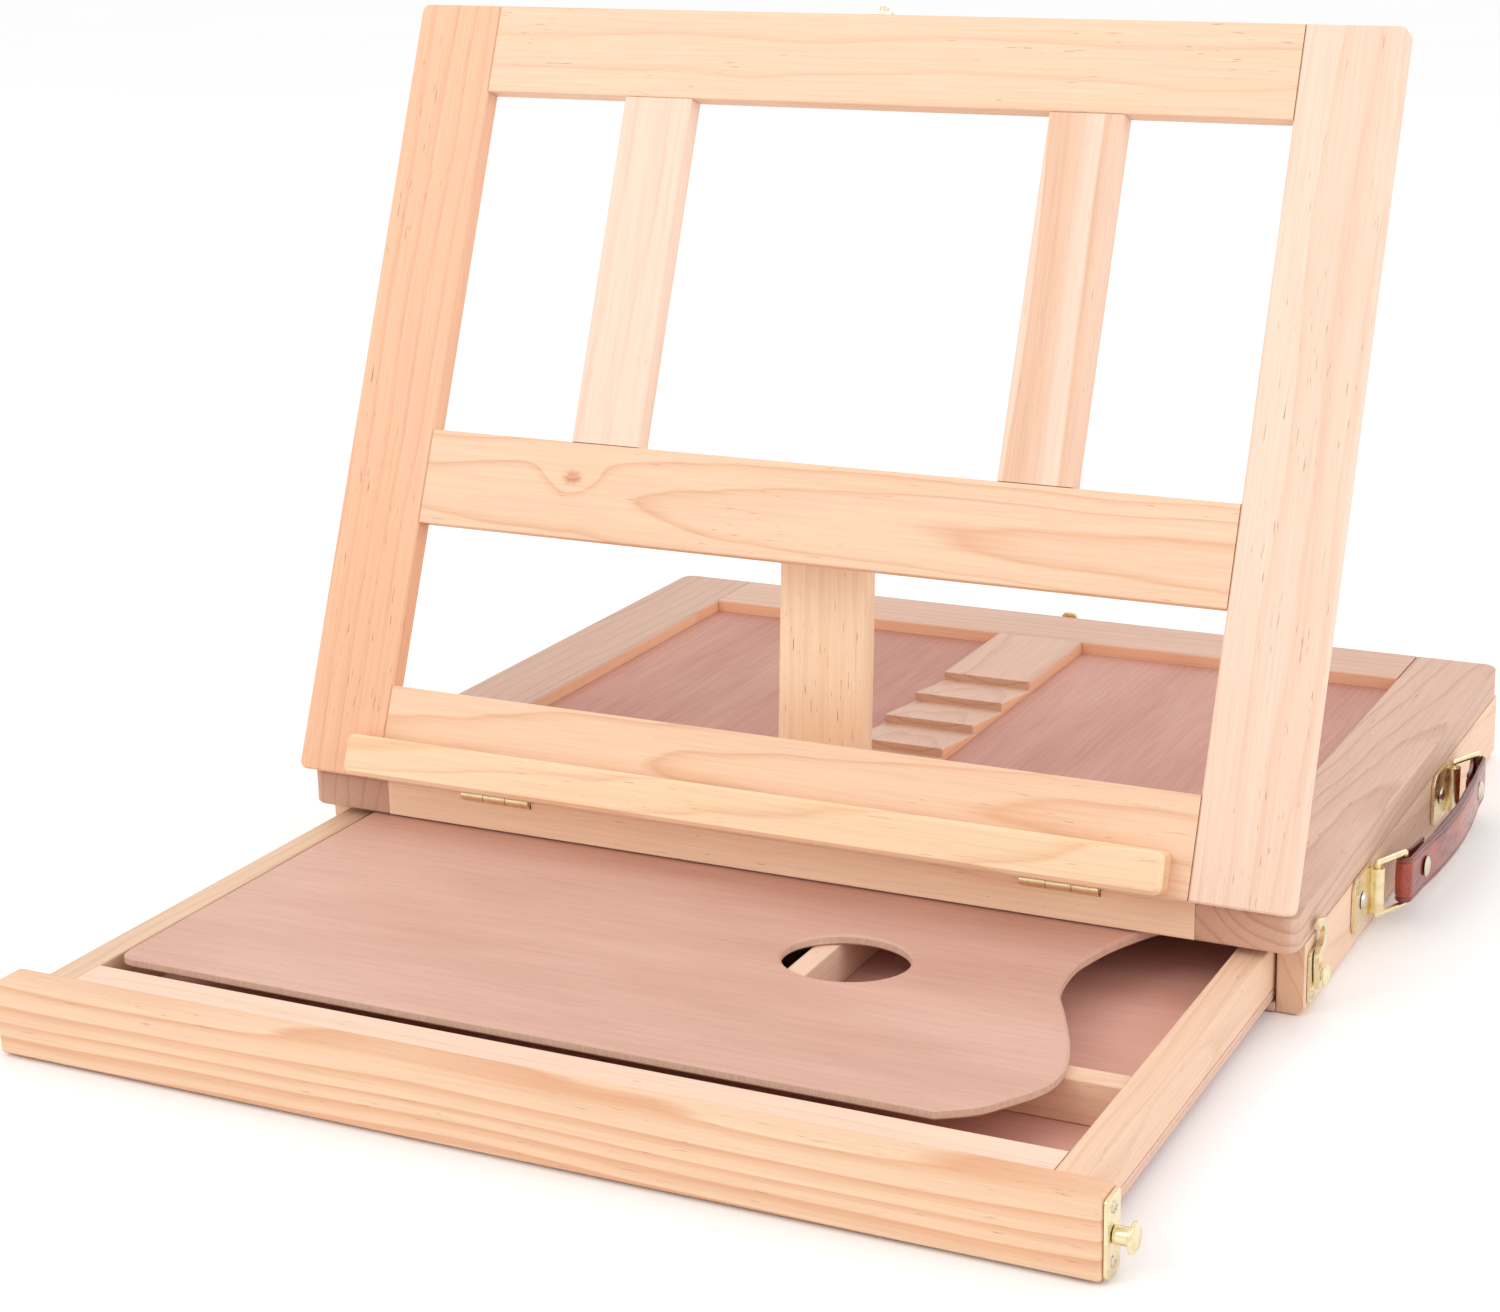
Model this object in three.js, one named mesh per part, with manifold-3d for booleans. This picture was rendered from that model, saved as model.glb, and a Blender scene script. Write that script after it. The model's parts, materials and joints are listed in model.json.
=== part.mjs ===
// Tabletop sketch-box easel: a shallow wooden case with a drawer, a framed easel panel hinged to
// the case's front top edge, and a strut that stands in a notched rail behind the panel.
// Millimetres, +Z up, +X to the right, -Y towards the painter.
// The origin is the centre of the case's underside.
import * as THREE from "three";
import { RoundedBoxGeometry } from "three/addons/geometries/RoundedBoxGeometry.js";
import { mergeVertices } from "three/addons/utils/BufferGeometryUtils.js";
import Module from "manifold-3d";

const wasm = await Module();
wasm.setup();

// ---------------------------------------------------------------- overall sizes
const WIDTH = 340; // outer width of the case and of the panel
const DEPTH = 266; // case, front to back
const HEIGHT = 35; // case, with its top frame
const FRONT = -DEPTH / 2;
const BACK = DEPTH / 2;
const SEAM = 0.12; // gap left between two fixed pieces
const EASE = 0.6; // rounding of a sanded wood edge
const CORNER = 5; // rounding of an outer corner seen from above

// case top frame
const TOP_THICK = 11.5;
const TOP_UNDER = HEIGHT - TOP_THICK;
const STILE_W = 30.5;
const RAIL_W = 30;
const NOTCHED_W = 34;
const RECESS = 4.5; // the ply panels lie this far below the frame
const PLY_PANEL = 3.5;

// notches of the centre rail, counted from the front
const NOTCH_PITCH = 27;
const NOTCH_DEEP = 3.2;
const NOTCH_COUNT = 6;
const FIRST_NOTCH = FRONT + 19; // where the first slope leaves the top face

// case walls
const WALL = 9;
const SETBACK = 11.5; // the closed drawer front fills this space
const BOTTOM_PLY = 3;

// panel
const TILT = THREE.MathUtils.degToRad(67.9); // above horizontal, as it stands on the strut
const PANEL_H = 262;
const PANEL_T = 7;
const PANEL_STILE = 31;
const BOTTOM_RAIL_TOP = 31.5;
const MIDDLE_RAIL = [86, 117.3];
const TOP_RAIL_LOW = 232.5;
const MUNTIN_W = 24.5;
const MUNTIN_X = 74.2;

// butt hinges between case and panel
const HINGE_X = 97.5;
const HINGE_LEN = 25;
const KNUCKLE_R = 2;
const BORE_R = 1.1;
const PIN_R = 1;
const LEAF_T = 1;
const LEAF_REACH = 14;
const CENTRE_KNUCKLE = 8.2; // length of the middle knuckle

// strut
const STRUT_W = 30.5;
const STRUT_T = 7;
const STRUT_LEN = 104.5; // above its turning point
const STRUT_FOOT = [FRONT + 45.5, HEIGHT + 0.5]; // turning point, on the strut's back face
const STRUT_LEAN = THREE.MathUtils.degToRad(85.5);

// drawer, drawn open
const DRAWER_OUT = 158;
const FACE_Y = FRONT - DRAWER_OUT; // front face of the drawer front
const FACE_T = 11.5;
const FACE_HALF = 168;
const DRAWER_LOW = 3.5;
const DRAWER_FLOOR = 6.5; // top of the drawer's ply floor
const DRAWER_TOP = 20.8;
const SIDE_OUT = 160;
const SIDE_T = 9.5;
const INNER_T = 13.5;
const DRAWER_DEPTH = 254; // from the front face to the outside of the back wall
const DRAWER_BACK_T = 10;
const DIVIDER_Y = FRONT - 92;
const DIVIDER_T = 8;
const PARTITION = [34, 41]; // left and right side of the front-to-back partition
const PALETTE_LOW = 19.6;
const PALETTE_T = 3.3;

// right-hand fittings
const SIDE_FACE = WIDTH / 2;
const KEEPER_Z = 11.5;
const LATCH_PIVOT = [FRONT + 18, KEEPER_Z];
const LATCH_REACH = LATCH_PIVOT[0] - (FRONT + FACE_T / 2); // to the knob of the shut drawer
const LATCH_RAISED = THREE.MathUtils.degToRad(95); // from +Y towards +Z; shut it is 180 degrees
const HANDLE_Z = 15;
const HANDLE_BARRELS = [FRONT + 81, FRONT + 184];
const BARREL_X = SIDE_FACE + 2.9;
const RING_ARM = 13.5; // from the barrel's axis to the strap's loop
const RING_ANGLE = THREE.MathUtils.degToRad(65); // from +X towards +Y
const RING_HALF = 8.7; // half the ring's height, to the wire's centre
const WIRE_R = 1;
const STRAP_W = 15;
const STRAP_T = 4;
const STRAP_BOW = 4;

// ---------------------------------------------------------------- materials
const tint = (hex, roughness, metalness = 0) => ({ color: hex, roughness, metalness });
const PINE = tint(0xf3d9bd, 0.6);
const PINE_WARM = tint(0xf2cba0, 0.6);
const PINE_ROSE = tint(0xe0bfa8, 0.6);
const PLY = tint(0xcf9d92, 0.7);
const PALETTE_PLY = tint(0xdcb4a0, 0.6);
const BRASS = tint(0xd9bd72, 0.28, 1);
const STEEL = tint(0xc9c6bd, 0.35, 1);
const LEATHER = tint(0x8e3d33, 0.45);

// ---------------------------------------------------------------- helpers
const root = new THREE.Group();
root.name = "tabletop_sketch_box_easel";

function add(name, geometry, look, parent = root) {
  geometry.computeVertexNormals();
  const mesh = new THREE.Mesh(geometry, new THREE.MeshStandardMaterial(look));
  mesh.name = name;
  parent.add(mesh);
  return mesh;
}

// A block between two corners, with sanded edges.
function block([x0, y0, z0], [x1, y1, z1], ease = EASE, steps = 1) {
  const g = new RoundedBoxGeometry(x1 - x0, y1 - y0, z1 - z0, steps, ease);
  return g.translate((x0 + x1) / 2, (y0 + y1) / 2, (z0 + z1) / 2);
}

// A sharp block, for cuts and sheet metal.
function sharp([x0, y0, z0], [x1, y1, z1]) {
  const g = new THREE.BoxGeometry(x1 - x0, y1 - y0, z1 - z0);
  return g.translate((x0 + x1) / 2, (y0 + y1) / 2, (z0 + z1) / 2);
}

// The shape's plane and the way it is extruded: along z it is (x, y), along x (y, z), along y (z, x).
const TURNS = {
  z: new THREE.Matrix4(),
  x: new THREE.Matrix4().set(0, 0, 1, 0, 1, 0, 0, 0, 0, 1, 0, 0, 0, 0, 0, 1),
  y: new THREE.Matrix4().set(0, 1, 0, 0, 0, 0, 1, 0, 1, 0, 0, 0, 0, 0, 0, 1),
};

function prism(shape, axis, from, to, ease = 0, curveSegments = 6) {
  const g = new THREE.ExtrudeGeometry(shape, {
    depth: to - from - 2 * ease,
    bevelEnabled: ease > 0,
    bevelThickness: ease,
    bevelSize: ease,
    bevelOffset: -ease,
    bevelSegments: 1,
    curveSegments,
  });
  g.translate(0, 0, from + ease);
  return g.applyMatrix4(TURNS[axis]);
}

// A straight bar: its long edges are sanded, its ends are sawn square to butt against a neighbour.
function bar(axis, [x0, y0, z0], [x1, y1, z1], ease = EASE) {
  const spans = {
    x: [rounded(y0, z0, y1, z1, ease), x0, x1],
    y: [rounded(z0, x0, z1, x1, ease), y0, y1],
  };
  const [section, from, to] = spans[axis];
  return prism(section, axis, from, to, 0, 3);
}

function outline(points) {
  return new THREE.Shape(points.map(([a, b]) => new THREE.Vector2(a, b)));
}

// A rectangle whose four corners have their own radii: low-low, high-low, high-high, low-high.
function rounded(a0, b0, a1, b1, radii) {
  const r = Array.isArray(radii) ? radii : [radii, radii, radii, radii];
  const s = new THREE.Shape();
  s.moveTo(a0 + r[0], b0);
  s.lineTo(a1 - r[1], b0);
  if (r[1]) s.absarc(a1 - r[1], b0 + r[1], r[1], -Math.PI / 2, 0);
  s.lineTo(a1, b1 - r[2]);
  if (r[2]) s.absarc(a1 - r[2], b1 - r[2], r[2], 0, Math.PI / 2);
  s.lineTo(a0 + r[3], b1);
  if (r[3]) s.absarc(a0 + r[3], b1 - r[3], r[3], Math.PI / 2, Math.PI);
  s.lineTo(a0, b0 + r[0]);
  if (r[0]) s.absarc(a0 + r[0], b0 + r[0], r[0], Math.PI, 1.5 * Math.PI);
  return s;
}

// A closed lathe about +Z from [radius, height] points that start and end on the axis.
function turned(points, segments = 24) {
  return new THREE.LatheGeometry(points.map(([r, h]) => new THREE.Vector2(r, h)), segments)
    .rotateX(Math.PI / 2);
}

function rod(axis, r, from, to, segments = 24) {
  const c = new THREE.Shape().absarc(0, 0, r, 0, 2 * Math.PI);
  return prism(c, axis, from, to, 0, segments);
}

function solid(geometry) {
  const bare = new THREE.BufferGeometry();
  bare.setAttribute("position", geometry.getAttribute("position").clone());
  if (geometry.index) bare.setIndex(geometry.index.clone());
  const merged = mergeVertices(bare, 1e-4);
  return new wasm.Manifold(
    new wasm.Mesh({
      numProp: 3,
      vertProperties: new Float32Array(merged.attributes.position.array),
      triVerts: new Uint32Array(merged.index.array),
    }),
  );
}

function geometryOf(made) {
  const m = made.getMesh();
  const g = new THREE.BufferGeometry();
  const v = new Float32Array(m.numVert * 3);
  for (let i = 0; i < m.numVert; i++) {
    v.set(m.vertProperties.subarray(i * m.numProp, i * m.numProp + 3), i * 3);
  }
  g.setAttribute("position", new THREE.BufferAttribute(v, 3));
  g.setIndex(new THREE.BufferAttribute(new Uint32Array(m.triVerts), 1));
  return g.toNonIndexed();
}

const joined = (...parts) => geometryOf(parts.map(solid).reduce((a, b) => a.add(b)));
const cut = (from, ...parts) => geometryOf(parts.map(solid).reduce((a, b) => a.subtract(b), solid(from)));

// ---------------------------------------------------------------- groups that stand at an angle
// Inside the panel's group x runs right, y up the panel and z out of its front face.
const panel = new THREE.Group();
panel.position.set(0, FRONT, HEIGHT);
panel.rotation.x = TILT;
root.add(panel);

const strutGroup = new THREE.Group();
strutGroup.position.set(0, ...STRUT_FOOT);
strutGroup.rotation.x = STRUT_LEAN;
root.add(strutGroup);

// ---------------------------------------------------------------- hinges, case to panel
// What the hinge needs cut out of a wood edge: the knuckles' groove and the leaf's bed.
// It lies along x on the edge where a face (z = 0) meets an end (y = 0), wood at y > 0, z < 0.
function hingeBed(x, up) {
  const half = HINGE_LEN / 2 + 0.3;
  const groove = rod("x", KNUCKLE_R + 0.3, x - half, x + half);
  const z = up ? [-0.2, LEAF_T + 0.2] : [-LEAF_T - 0.2, 0.2];
  const bed = sharp([x - half, 0.2, z[0]], [x + half, LEAF_REACH + 0.3, z[1]]);
  return [groove, bed];
}

function tube(x0, x1) {
  return cut(rod("x", KNUCKLE_R, x0, x1), rod("x", BORE_R, x0 - 1, x1 + 1));
}

function leaf(x, low, centre) {
  const half = HINGE_LEN / 2;
  const mid = CENTRE_KNUCKLE / 2;
  const z = [low, low + LEAF_T];
  const spans = centre
    ? [[x - mid + 0.1, x + mid - 0.1]]
    : [[x - half, x - mid - 0.1], [x + mid + 0.1, x + half]];
  const parts = [sharp([x - half, KNUCKLE_R + 0.35, z[0]], [x + half, LEAF_REACH, z[1]])];
  for (const [a, b] of spans) {
    parts.push(tube(a, b));
    parts.push(sharp([a, 1.35, z[0]], [b, KNUCKLE_R + 0.5, z[1]]));
  }
  return joined(...parts);
}

// ---------------------------------------------------------------- case: top frame
const xStile = WIDTH / 2 - STILE_W; // inner edge of a stile

for (const [side, name] of [[-1, "left"], [1, "right"]]) {
  const a = side < 0 ? -WIDTH / 2 : xStile;
  const radii = side < 0 ? [CORNER, 0, 0, CORNER] : [0, CORNER, CORNER, 0];
  const plan = rounded(a, FRONT, a + STILE_W, BACK, radii);
  add("top_stile_" + name, prism(plan, "z", TOP_UNDER, HEIGHT, EASE), PINE_ROSE);

  const inner = side < 0 ? -xStile + SEAM : NOTCHED_W / 2 + SEAM;
  const wide = xStile - NOTCHED_W / 2 - 2 * SEAM;
  add(
    "top_panel_" + name,
    block(
      [inner, FRONT + RAIL_W + SEAM, HEIGHT - RECESS - PLY_PANEL],
      [inner + wide, BACK - RAIL_W - SEAM, HEIGHT - RECESS],
      0.2,
    ),
    PLY,
  );
}

const slope = NOTCH_DEEP / NOTCH_PITCH;
const frontCut = prism(
  outline([
    [FIRST_NOTCH, HEIGHT],
    [FRONT + RAIL_W + 1, HEIGHT - slope * (FRONT + RAIL_W + 1 - FIRST_NOTCH)],
    [FRONT + RAIL_W + 1, HEIGHT + 2],
    [FIRST_NOTCH, HEIGHT + 2],
  ]),
  "x",
  -NOTCHED_W / 2,
  NOTCHED_W / 2,
);
const caseBeds = [-HINGE_X, HINGE_X]
  .flatMap((x) => hingeBed(x, false))
  .map((g) => g.translate(0, FRONT, HEIGHT));
add(
  "top_rail_front",
  cut(
    bar("x", [-xStile + SEAM, FRONT, TOP_UNDER], [xStile - SEAM, FRONT + RAIL_W, HEIGHT]),
    frontCut,
    ...caseBeds,
  ),
  PINE_ROSE,
);
add(
  "top_rail_back",
  bar("x", [-xStile + SEAM, BACK - RAIL_W, TOP_UNDER], [xStile - SEAM, BACK, HEIGHT]),
  PINE_ROSE,
);

const railProfile = [
  [FRONT + RAIL_W + SEAM, TOP_UNDER],
  [BACK - RAIL_W - SEAM, TOP_UNDER],
  [BACK - RAIL_W - SEAM, HEIGHT],
];
for (let i = NOTCH_COUNT; i > 0; i--) {
  const riser = FIRST_NOTCH + i * NOTCH_PITCH;
  railProfile.push([riser, HEIGHT], [riser, HEIGHT - NOTCH_DEEP]);
}
railProfile.push([
  FRONT + RAIL_W + SEAM,
  HEIGHT - slope * (FRONT + RAIL_W + SEAM - FIRST_NOTCH),
]);
add(
  "notched_rail",
  prism(outline(railProfile), "x", -NOTCHED_W / 2, NOTCHED_W / 2, 0.4),
  PINE_ROSE,
);

// ---------------------------------------------------------------- case: walls and bottom
for (const [side, name] of [[-1, "left"], [1, "right"]]) {
  // profile across the board: x outwards, the lower outer edge rounded over
  const a = side < 0 ? -WIDTH / 2 : WIDTH / 2 - WALL;
  const radii = side < 0 ? [3, 0, 0, 0] : [0, 3, 0, 0];
  const flip = rounded(0, a, TOP_UNDER - SEAM, a + WALL, [radii[0], radii[3], radii[2], radii[1]]);
  add("side_board_" + name, prism(flip, "y", FRONT + SETBACK, BACK, 0.6, 4), PINE);
}
const inside = WIDTH / 2 - WALL - SEAM;
add(
  "back_board",
  block([-inside, BACK - WALL, 0.1], [inside, BACK, TOP_UNDER - SEAM], 0.6),
  PINE,
);
add(
  "bottom_board",
  block([-inside, FRONT + SETBACK, 0], [inside, BACK - WALL - SEAM, BOTTOM_PLY], 0.3),
  PLY,
);

// ---------------------------------------------------------------- hinges
for (const [side, name] of [[-1, "left"], [1, "right"]]) {
  const x = side * HINGE_X;
  const onCase = leaf(x, -LEAF_T - 0.1, false).translate(0, FRONT, HEIGHT);
  add("hinge_leaf_case_" + name, onCase, BRASS);
  add("hinge_leaf_panel_" + name, leaf(x, 0.1, true), BRASS, panel);
  const half = HINGE_LEN / 2 + 0.2;
  add(
    "hinge_pin_" + name,
    rod("x", PIN_R, x - half, x + half).translate(0, FRONT, HEIGHT),
    STEEL,
  );
}

// ---------------------------------------------------------------- panel
const xPanel = WIDTH / 2 - PANEL_STILE;
const PANEL_CORNER = 2.6;
const PANEL_LOW = 0.4; // the panel's lower end clears the case's edge by this much

for (const [side, name] of [[-1, "left"], [1, "right"]]) {
  const a = side < 0 ? -WIDTH / 2 : xPanel;
  const c = PANEL_CORNER;
  const radii = side < 0 ? [c, 0, 0, c] : [0, c, c, 0];
  const face = rounded(a, PANEL_LOW, a + PANEL_STILE, PANEL_H, radii);
  add("panel_stile_" + name, prism(face, "z", 0, PANEL_T, EASE), PINE, panel);
  add(
    "panel_muntin_" + name,
    bar(
      "y",
      [side * MUNTIN_X - MUNTIN_W / 2, MIDDLE_RAIL[1] + SEAM, 0],
      [side * MUNTIN_X + MUNTIN_W / 2, TOP_RAIL_LOW - SEAM, PANEL_T],
    ),
    PINE,
    panel,
  );
}

const railX = xPanel - SEAM;
const panelBeds = [-HINGE_X, HINGE_X].flatMap((x) => hingeBed(x, true));
add(
  "panel_rail_bottom",
  cut(bar("x", [-railX, PANEL_LOW, 0], [railX, BOTTOM_RAIL_TOP, PANEL_T]), ...panelBeds),
  PINE_WARM,
  panel,
);
const STRUT_LEAF_W = 24;
const strutBed = sharp(
  [-STRUT_LEAF_W / 2 - 0.3, MIDDLE_RAIL[1] - 16, -1],
  [STRUT_LEAF_W / 2 + 0.3, MIDDLE_RAIL[1] + 1, LEAF_T + 0.3],
);
add(
  "panel_rail_middle",
  cut(bar("x", [-railX, MIDDLE_RAIL[0], 0], [railX, MIDDLE_RAIL[1], PANEL_T]), strutBed),
  PINE,
  panel,
);
add(
  "panel_rail_top",
  bar("x", [-railX, TOP_RAIL_LOW, 0], [railX, PANEL_H, PANEL_T]),
  PINE,
  panel,
);

// The ledge that carries the canvas, fixed across the bottom rail a little to the left.
const LEDGE = { left: -148, right: 133, low: 0.8, high: 14, out: 8 };
add(
  "canvas_ledge",
  prism(
    rounded(LEDGE.left, LEDGE.low, LEDGE.right, LEDGE.high, 2.6),
    "z",
    PANEL_T + SEAM,
    PANEL_T + SEAM + LEDGE.out,
    1.2,
  ),
  PINE_WARM,
  panel,
);

// ---------------------------------------------------------------- strut and its top hinge
const strutSide = outline([
  [-NOTCH_DEEP, 0],
  [STRUT_LEN - 1.2, 0],
  [STRUT_LEN, 1.2],
  [STRUT_LEN, STRUT_T - 1.2],
  [STRUT_LEN - 1.2, STRUT_T],
  [-NOTCH_DEEP + 0.6, STRUT_T],
]);
const strutLeafBed = sharp(
  [-STRUT_LEAF_W / 2 - 0.3, STRUT_LEN - 15.3, STRUT_T - LEAF_T - 0.3],
  [STRUT_LEAF_W / 2 + 0.3, STRUT_LEN + 1, STRUT_T + 1],
);
// the profile's first axis is up the strut, which is y here
add(
  "strut",
  cut(prism(strutSide, "x", -STRUT_W / 2, STRUT_W / 2, 0.6), strutLeafBed),
  PINE,
  strutGroup,
);
const strutKnuckle = [STRUT_LEN - 2.4, STRUT_T + 0.9];
add(
  "strut_hinge_leaf",
  joined(
    sharp(
      [-STRUT_LEAF_W / 2, STRUT_LEN - 15, STRUT_T - LEAF_T - 0.1],
      [STRUT_LEAF_W / 2, strutKnuckle[0] + 0.6, STRUT_T - 0.1],
    ),
    rod("x", 1.5, -STRUT_LEAF_W / 2, STRUT_LEAF_W / 2).translate(0, ...strutKnuckle),
  ),
  BRASS,
  strutGroup,
);
add(
  "strut_hinge_leaf_panel",
  sharp(
    [-STRUT_LEAF_W / 2, MIDDLE_RAIL[1] - 15.7, 0.1],
    [STRUT_LEAF_W / 2, MIDDLE_RAIL[1] - 0.8, LEAF_T + 0.1],
  ),
  BRASS,
  panel,
);

// ---------------------------------------------------------------- lid catch, panel to case back
const studPlate = sharp([-3.8, PANEL_H + 0.2, 0.8], [3.8, PANEL_H + 1.1, PANEL_T - 0.8]);
const studKnob = rod("y", 1.5, PANEL_H + 0.9, PANEL_H + 3.2, 16).translate(0, 0, PANEL_T / 2);
add("lid_stud", joined(studPlate, studKnob), BRASS, panel);

const HOOK_PIVOT_Z = 22;
const plateY = BACK + 0.2;
const hookPlate = prism(rounded(13, -4.6, 30, 4.6, 1.5), "y", plateY, plateY + 0.9);
const hookPost = rod("y", 1.4, plateY + 0.5, plateY + 3.6, 20).translate(0, 0, HOOK_PIVOT_Z);
const hookHead = rod("y", 2.6, plateY + 3.1, plateY + 3.9, 20).translate(0, 0, HOOK_PIVOT_Z);
add("lid_hook_plate", joined(hookPlate, hookPost, hookHead), BRASS);
const hookBar = outline([
  [17.6, -3.1], [35, -3.1], [36.2, -1.9], [36.2, 2], [35, 3.1], [32.9, 3.1],
  [32.9, 1.2], [30.9, 0.2], [29.2, 1.2], [28.6, 3.1], [17.6, 3.1],
]);
add(
  "lid_hook",
  cut(
    prism(hookBar, "y", plateY + 1.2, plateY + 2.8),
    rod("y", 1.5, plateY, plateY + 5, 20).translate(0, 0, HOOK_PIVOT_Z),
  ),
  BRASS,
);

// ---------------------------------------------------------------- drawer
const innerFrontBack = FACE_Y + FACE_T + SEAM + INNER_T;
const drawerBackOuter = FACE_Y + DRAWER_DEPTH;
add(
  "drawer_front",
  block([-FACE_HALF, FACE_Y, 0.5], [FACE_HALF, FACE_Y + FACE_T, 22.8], 1.4, 2),
  PINE_WARM,
);
const wallIn = SIDE_OUT - SIDE_T;
add(
  "drawer_inner_front",
  bar(
    "x",
    [-wallIn + SEAM, FACE_Y + FACE_T + SEAM, DRAWER_FLOOR + SEAM],
    [wallIn - SEAM, innerFrontBack, DRAWER_TOP],
  ),
  PINE,
);
for (const [side, name] of [[-1, "left"], [1, "right"]]) {
  const a = side < 0 ? -SIDE_OUT : wallIn;
  add(
    "drawer_side_" + name,
    bar(
      "y",
      [a, FACE_Y + FACE_T + SEAM, DRAWER_FLOOR + SEAM],
      [a + SIDE_T, drawerBackOuter, DRAWER_TOP],
    ),
    PINE,
  );
}
add(
  "drawer_back",
  bar(
    "x",
    [-wallIn + SEAM, drawerBackOuter - DRAWER_BACK_T, DRAWER_FLOOR + SEAM],
    [wallIn - SEAM, drawerBackOuter, PALETTE_LOW - SEAM],
  ),
  PINE,
);
add(
  "drawer_divider",
  bar(
    "x",
    [-wallIn + SEAM, DIVIDER_Y, DRAWER_FLOOR + SEAM],
    [wallIn - SEAM, DIVIDER_Y + DIVIDER_T, PALETTE_LOW - SEAM],
  ),
  PINE,
);
add(
  "drawer_partition",
  bar(
    "y",
    [PARTITION[0], DIVIDER_Y + DIVIDER_T + SEAM, DRAWER_FLOOR + SEAM],
    [PARTITION[1], drawerBackOuter - DRAWER_BACK_T - SEAM, PALETTE_LOW - SEAM],
  ),
  PINE,
);
add(
  "drawer_bottom",
  block([-SIDE_OUT, FACE_Y + FACE_T + SEAM, DRAWER_LOW], [SIDE_OUT, drawerBackOuter, DRAWER_FLOOR], 0.2),
  PLY,
);

// The palette: straight along the drawer's front and left wall, waisted on the right for the arm.
const P = (x, y) => new THREE.Vector2(x, FRONT + y);
const paletteShape = new THREE.Shape();
paletteShape.moveTo(-142.5, FRONT - 129);
paletteShape.lineTo(112, FRONT - 129);
paletteShape.splineThru([
  P(121.5, -122.5), P(127, -115), P(132, -107), P(134.2, -99), P(133.5, -90), P(130, -78),
  P(122, -60.5), P(116, -48.5), P(113.7, -38), P(113.3, -28), P(114.6, -20), P(118, -8),
  P(125, 6.8), P(134, 21), P(141, 36), P(143.5, 52), P(141, 68), P(132, 80), P(118, 84.5),
]);
paletteShape.lineTo(-132, FRONT + 84.5);
paletteShape.quadraticCurveTo(-146.6, FRONT + 84, -147, FRONT + 70);
paletteShape.lineTo(-147, FRONT - 124.5);
paletteShape.quadraticCurveTo(-146.8, FRONT - 128.8, -142.5, FRONT - 129);
const thumb = new THREE.Path();
const THUMB_POINTS = 36;
const THUMB = { x: 50, y: FRONT - 49, halfX: 19.5, halfY: 16.5 };
for (let i = 0; i < THUMB_POINTS; i++) {
  const t = (-2 * Math.PI * i) / THUMB_POINTS;
  const [x, y] = [THUMB.x + THUMB.halfX * Math.cos(t), THUMB.y + THUMB.halfY * Math.sin(t)];
  if (i) thumb.lineTo(x, y);
  else thumb.moveTo(x, y);
}
thumb.closePath();
paletteShape.holes.push(thumb);
add(
  "palette",
  prism(paletteShape, "z", PALETTE_LOW, PALETTE_LOW + PALETTE_T, 0.7, 4),
  PALETTE_PLY,
);

// ---------------------------------------------------------------- drawer latch, right-hand side
const KEEPER_Y = FACE_Y + FACE_T / 2;
add(
  "keeper_plate",
  prism(rounded(KEEPER_Y - 4.6, 0.9, KEEPER_Y + 4.6, 22.2, 1.4), "x", FACE_HALF + 0.2, FACE_HALF + 1.2),
  BRASS,
);
const knob = turned([[0, 0], [2.4, 0], [2.4, 4.1], [4.1, 4.5], [4.1, 5.2], [3.3, 5.8], [0, 6]], 28);
knob.applyMatrix4(TURNS.x).translate(FACE_HALF + 1.4, KEEPER_Y, KEEPER_Z);
add("keeper_knob", knob, BRASS);

const latchFace = SIDE_FACE + 0.2;
const [pivotY, pivotZ] = LATCH_PIVOT;
const latchPlate = prism(rounded(FRONT + 12.3, 3.4, FRONT + 27, 19.6, 2), "x", latchFace, latchFace + 0.9);
add("latch_plate", latchPlate, BRASS);
const pivotPost = turned(
  [[0, 0], [1.7, 0], [1.7, 2.5], [3.4, 2.7], [3.4, 3.2], [2.2, 4], [0, 4.2]], 24,
);
pivotPost.applyMatrix4(TURNS.x).translate(latchFace + 1.1, pivotY, pivotZ);
add("latch_pivot", pivotPost, BRASS);

// The hook is drawn with its arm along +u and its mouth open towards +v, then turned up.
const MOUTH_R = 3.1;
const hook = new THREE.Shape();
hook.moveTo(-3.6, -2.7);
hook.lineTo(5, -2.7);
hook.lineTo(LATCH_REACH - 4, -4.8);
hook.quadraticCurveTo(LATCH_REACH, -6.6, LATCH_REACH + 4, -5);
hook.quadraticCurveTo(LATCH_REACH + 5.4, -3.2, LATCH_REACH + 5.2, 0);
hook.lineTo(LATCH_REACH + 4.8, 2.6);
hook.lineTo(LATCH_REACH + MOUTH_R, 2.2);
hook.lineTo(LATCH_REACH + MOUTH_R, 0);
hook.absarc(LATCH_REACH, 0, MOUTH_R, 0, -Math.PI, true);
hook.lineTo(LATCH_REACH - MOUTH_R, 1);
hook.lineTo(LATCH_REACH - 5.2, 2.9);
hook.lineTo(4, 3.3);
hook.lineTo(-3.6, 2.9);
const pivotHole = new THREE.Path();
pivotHole.absarc(0, 0, 1.85, 0, 2 * Math.PI, true);
hook.holes.push(pivotHole);
const hookPlateSolid = prism(hook, "x", latchFace + 1.2, latchFace + 2.8, 0, 10);
hookPlateSolid.rotateX(LATCH_RAISED).translate(0, pivotY, pivotZ);
add("latch_hook", hookPlateSolid, BRASS);

// ---------------------------------------------------------------- carrying handle
const armX = BARREL_X + RING_ARM * Math.cos(RING_ANGLE);
const armY = RING_ARM * Math.sin(RING_ANGLE);
const BARREL_HALF = RING_HALF - 1.6;
const WIRE_SIDES = 16;

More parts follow.
